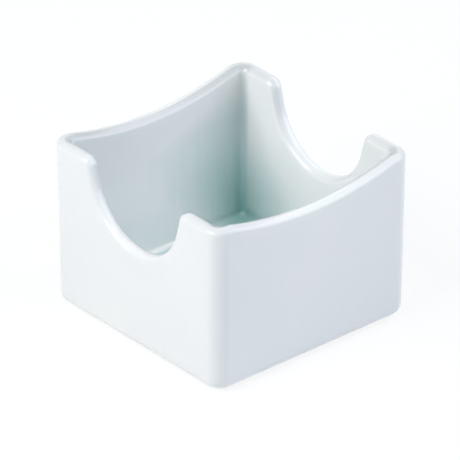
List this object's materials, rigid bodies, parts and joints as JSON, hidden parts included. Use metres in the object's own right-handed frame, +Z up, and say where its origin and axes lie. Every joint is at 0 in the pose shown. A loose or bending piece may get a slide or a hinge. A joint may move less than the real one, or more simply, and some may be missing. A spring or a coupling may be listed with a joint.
{
  "type": "sugar packet holder",
  "caption": "Square white porcelain sugar packet holder with deep finger scoops in facing walls, gently sagging rims on the others, a soft rounded lip and a recessed unglazed foot",
  "frame": {"origin": "middle of the foot's underside, at table level", "axes": "+Z up; the scooped walls face -Y and +Y, the sagging walls face -X and +X"},
  "size_m": [0.079, 0.079, 0.058],
  "materials": {
    "glazed_porcelain": "gloss",
    "bisque": "matte"
  },
  "bodies": {
    "root": {"porcelain_body": "glazed_porcelain", "foot_ring": "bisque"}
  },
  "joints": []
}
